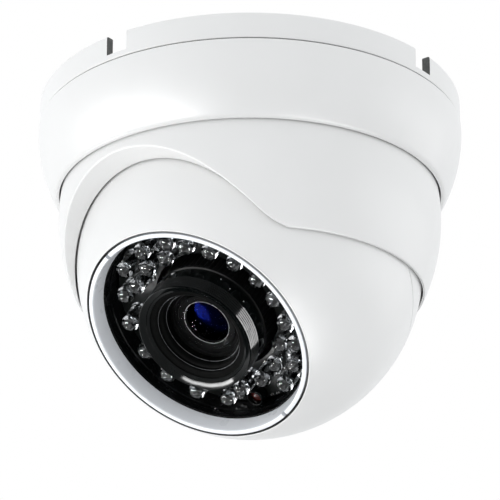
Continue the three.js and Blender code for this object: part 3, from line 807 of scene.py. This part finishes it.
def lens_glass():
    """Front element, the baffle behind it with its bright inner edge, and the coated second element."""
    front_r, front_cz, front_top = 28, 5.0, 33.0
    back_r, back_cz, back_top, back_edge = 40, -9.1, 30.9, 9.5
    front_edge_z = front_cz + math.sqrt(front_r ** 2 - GLASS_R ** 2)
    back_edge_z = back_cz + math.sqrt(back_r ** 2 - back_edge ** 2)
    front_arc = sphere_arc(front_r, front_cz, front_edge_z, front_top - 0.02, 14)
    back_arc = sphere_arc(back_r, back_cz, back_edge_z, back_top - 0.01, 8)
    glass = lathe("front_glass", [
        (0, back_top), *reversed(back_arc), (GLASS_R, 29.6), *front_arc, (0, front_top)], BALL, closed=False)
    settle(glass, MATERIALS["lens_glass"], "focus", ["front_element"])
    glass.visible_shadow = False
    baffle_r = 6.8
    baffle = lathe("inner_baffle", [
        (baffle_r, 28.7, 0.08), (baffle_r, 27.6), (11.2, 27.6), (11.2, 29.2), (10.2, 29.1), (9.9, 28.5),
        (9.0, 28.4), (8.7, 28.8), (7.6, 28.8)], BALL, MEDIUM)
    settle(baffle, MATERIALS["lens_matt"], "focus", ["lens_baffle"])
    outer, low, high = baffle_r + 0.12, 28.75, 28.85
    bright = lathe("baffle_edge", [
        (baffle_r, low), (outer, low), (outer, high), (baffle_r, high)], BALL, MEDIUM)
    settle(bright, MATERIALS["lens_edge"], "focus")
    second_r, back, dome_r, dome_top = 7.4, 24.1, 40.0, 26.7
    centre = dome_top - dome_r
    edge_z = centre + math.sqrt(dome_r ** 2 - second_r ** 2)
    second = lathe("second_glass", [
        (0, back), (second_r, back), *sphere_arc(dome_r, centre, edge_z, dome_top - 0.01, 14), (0, dome_top)],
        BALL, MEDIUM, False)
    settle(second, MATERIALS["inner_glass"], "module", ["second_element"])


KNURL_TEETH, KNURL_DEPTH = 72, 0.5


def knurled_ring(name, outer, low, high, node, body):
    """A ring with rounded ribs round its outside and plain chamfered ends."""
    sides = KNURL_TEETH * 6
    verts, faces = [], []
    levels = [(low, 0.5, 0), (low + 0.4, 0, 0), (low + 0.9, 0, 1), (high - 1.6, 0, 1), (high - 1.1, 0, 0),
              (high - 0.4, 0, 0), (high, 0.5, 0)]
    rows = len(levels) + 2
    for i in range(sides):
        angle = 2 * math.pi * i / sides
        rib = KNURL_DEPTH * (0.5 - 0.5 * math.cos(KNURL_TEETH * angle)) ** 0.7
        for z, inset, ribbed in levels:
            r = outer - inset - (rib if ribbed else KNURL_DEPTH / 2)
            verts.append((r * math.cos(angle), r * math.sin(angle), z))
        for z in (high, low):
            verts.append((GRIP_BORE * math.cos(angle), GRIP_BORE * math.sin(angle), z))
    for i in range(sides):
        j = (i + 1) % sides
        for k in range(rows):
            m = (k + 1) % rows
            faces.append((i * rows + k, j * rows + k, j * rows + m, i * rows + m))
    ring = object_from(name, verts, faces, BALL, 50)
    settle(ring, MATERIALS["black_plastic"], body, [node])


def carried_over():
    """CAD nodes that keep their own mesh get the finish of their slot."""
    slots = {entry["node"]: entry["material_slot"] for entry in frame["record"]["subparts"]}
    finishes = {"lens_black": "lens_black", "sensor_die": "sensor_die", "board": "board", "steel": "steel",
                "bracket_steel": "bracket_steel", "acetal": "acetal", "rubber_black": "rubber_black",
                "black_plastic": "black_plastic", "lens_glass": "inner_glass", "foam": "foam"}
    for name, node in frame["nodes"].items():
        if node.hide_render:
            continue
        node.data.materials.clear()
        node.data.materials.append(MATERIALS[finishes[slots[name]]])


# ---- stage, lights and camera ----------------------------------------------------------------------
FLOOR_Z = -0.62
MIDDLE = Vector((0, 0, -0.05))              # the middle of the camera, in metres
STRIP_AIM = Vector((0.01, -0.02, -0.076))   # the front of the lens, in metres


def stage():
    """A plain pale floor far below."""
    verts, faces = box_data((-6, -6, FLOOR_Z - 0.02), (6, 6, FLOOR_Z))
    floor = object_from("floor", verts, faces, Matrix.Identity(4))
    pale = Shader("floor_white", (0.62, 0.62, 0.62), 0.7).tint(2, (0.61, 0.61, 0.61), (0.63, 0.63, 0.63))
    floor.data.materials.append(pale.material)


def area_light(name, place, size, power, shape="RECTANGLE"):
    """A softbox that faces the middle of the camera."""
    light = bpy.data.lights.new(name, "AREA")
    light.shape = shape
    light.size, light.size_y = size
    light.energy = power
    obj = bpy.data.objects.new(name, light)
    obj.location = place
    obj.rotation_euler = (MIDDLE - place).to_track_quat("-Z", "Y").to_euler()
    bpy.context.scene.collection.objects.link(obj)
    return obj


def strip_light(name, start, end, height, power):
    """A long narrow softbox from start to end that faces the lens and only shows in glossy surfaces."""
    middle = (start + end) / 2
    obj = area_light(name, middle, ((end - start).length, height), power)
    along = (end - start).normalized()
    back = (middle - STRIP_AIM).normalized()
    up = back.cross(along).normalized()
    obj.rotation_euler = Matrix((along, up, along.cross(up))).transposed().to_euler()
    obj.visible_diffuse = False


def around(azimuth, elevation, distance):
    """A place seen from the camera's middle: azimuth from -Y towards +X, in degrees, and metres."""
    a, e = math.radians(azimuth), math.radians(elevation)
    away = Vector((math.cos(e) * math.sin(a), -math.cos(e) * math.cos(a), math.sin(e)))
    return MIDDLE + away * distance


def room_light():
    """Even light from all round: pale for the surfaces, plain white where the sky itself is seen."""
    world = bpy.data.worlds.new("studio")
    bpy.context.scene.world = world
    world.use_nodes = True
    nodes, links = world.node_tree.nodes, world.node_tree.links
    shown = nodes["Background"]
    shown.inputs["Color"].default_value = (1, 1, 1, 1)
    shown.inputs["Strength"].default_value = 1.0
    room = nodes.new("ShaderNodeBackground")
    room.inputs["Color"].default_value = (0.97, 0.985, 1, 1)
    room.inputs["Strength"].default_value = 1.02
    path = nodes.new("ShaderNodeLightPath")
    mix = nodes.new("ShaderNodeMixShader")
    links.new(path.outputs["Is Camera Ray"], mix.inputs["Fac"])
    links.new(room.outputs["Background"], mix.inputs[1])
    links.new(shown.outputs["Background"], mix.inputs[2])
    links.new(mix.outputs["Shader"], nodes["World Output"].inputs["Surface"])


def lights():
    """Large softboxes for the white shells, and narrow ones for the highlights on the lens."""
    area_light("left", around(-63, -27, 0.8), (0.3, 0.3), 1.0, shape="ELLIPSE").visible_glossy = False
    area_light("front", around(-22, -20, 0.85), (0.5, 0.3), 1.5).visible_glossy = False
    area_light("below", around(60, -75, 0.55), (0.4, 0.3), 0.36).visible_glossy = False
    area_light("glint", around(-66, -42, 0.7), (0.14, 0.14), 1.15, shape="ELLIPSE").visible_diffuse = False
    area_light("right", around(139, 2, 1.1), (1.1, 0.5), 1.85)
    # Two bent strips in straight parts, by azimuth and elevation: one for the rim of the lens and one for
    # the steps on its side.
    front = ((12, -28), (-8, -17), (-28, -10), (-50, -5.5))
    low = ((141, -59), (109, -55.5), (85, -48), (66, -37))
    strips = (("front", front, 0.82, 0.06, 3.6), ("low", low, 0.58, 0.022, 0.62))
    for name, corners, distance, height, power in strips:
        path = [around(azimuth, elevation, distance) for azimuth, elevation in corners]
        for i in range(3):
            strip_light(f"{name}_strip_{i + 1}", path[i], path[i + 1], height, power)
    view = bpy.context.scene.view_settings
    view.view_transform = "Standard"
    view.look = "None"


CAMERA_TARGET = Vector((0, 0, -0.0448))
CAMERA_DISTANCE = 0.8987
CAMERA_AZIMUTH, CAMERA_ELEVATION = math.radians(42.34), math.radians(-23.47)
CAMERA_LENS, CAMERA_SENSOR = 225.4, 36


def camera():
    """The camera that takes the picture: below the object and to its right, looking up."""
    data = bpy.data.cameras.new("camera")
    data.sensor_width = CAMERA_SENSOR
    data.lens = CAMERA_LENS
    data.clip_start = 0.01
    obj = bpy.data.objects.new("camera", data)
    level = math.cos(CAMERA_ELEVATION)
    x, y = level * math.sin(CAMERA_AZIMUTH), -level * math.cos(CAMERA_AZIMUTH)
    away = Vector((x, y, math.sin(CAMERA_ELEVATION)))
    obj.location = CAMERA_TARGET + away * CAMERA_DISTANCE
    obj.rotation_euler = (-away).to_track_quat("-Z", "Y").to_euler()
    bpy.context.scene.collection.objects.link(obj)
    bpy.context.scene.camera = obj


camera()
mounting_base()
enclosure_ring()
swivel_shell()
ball_shells()
shell_screws()
bezel_ring()
cup_and_board()
lamps()
light_cell()
board_chips()
lens_sleeve()
lens_funnel()
lens_glass()
knurled_ring("focus_grip", 17.5, 15.5, 27.3, "focus_ring", "focus")
knurled_ring("zoom_grip", 16.6, 4.0, 11.5, "zoom_ring", "zoom")
carried_over()
stage()
room_light()
lights()
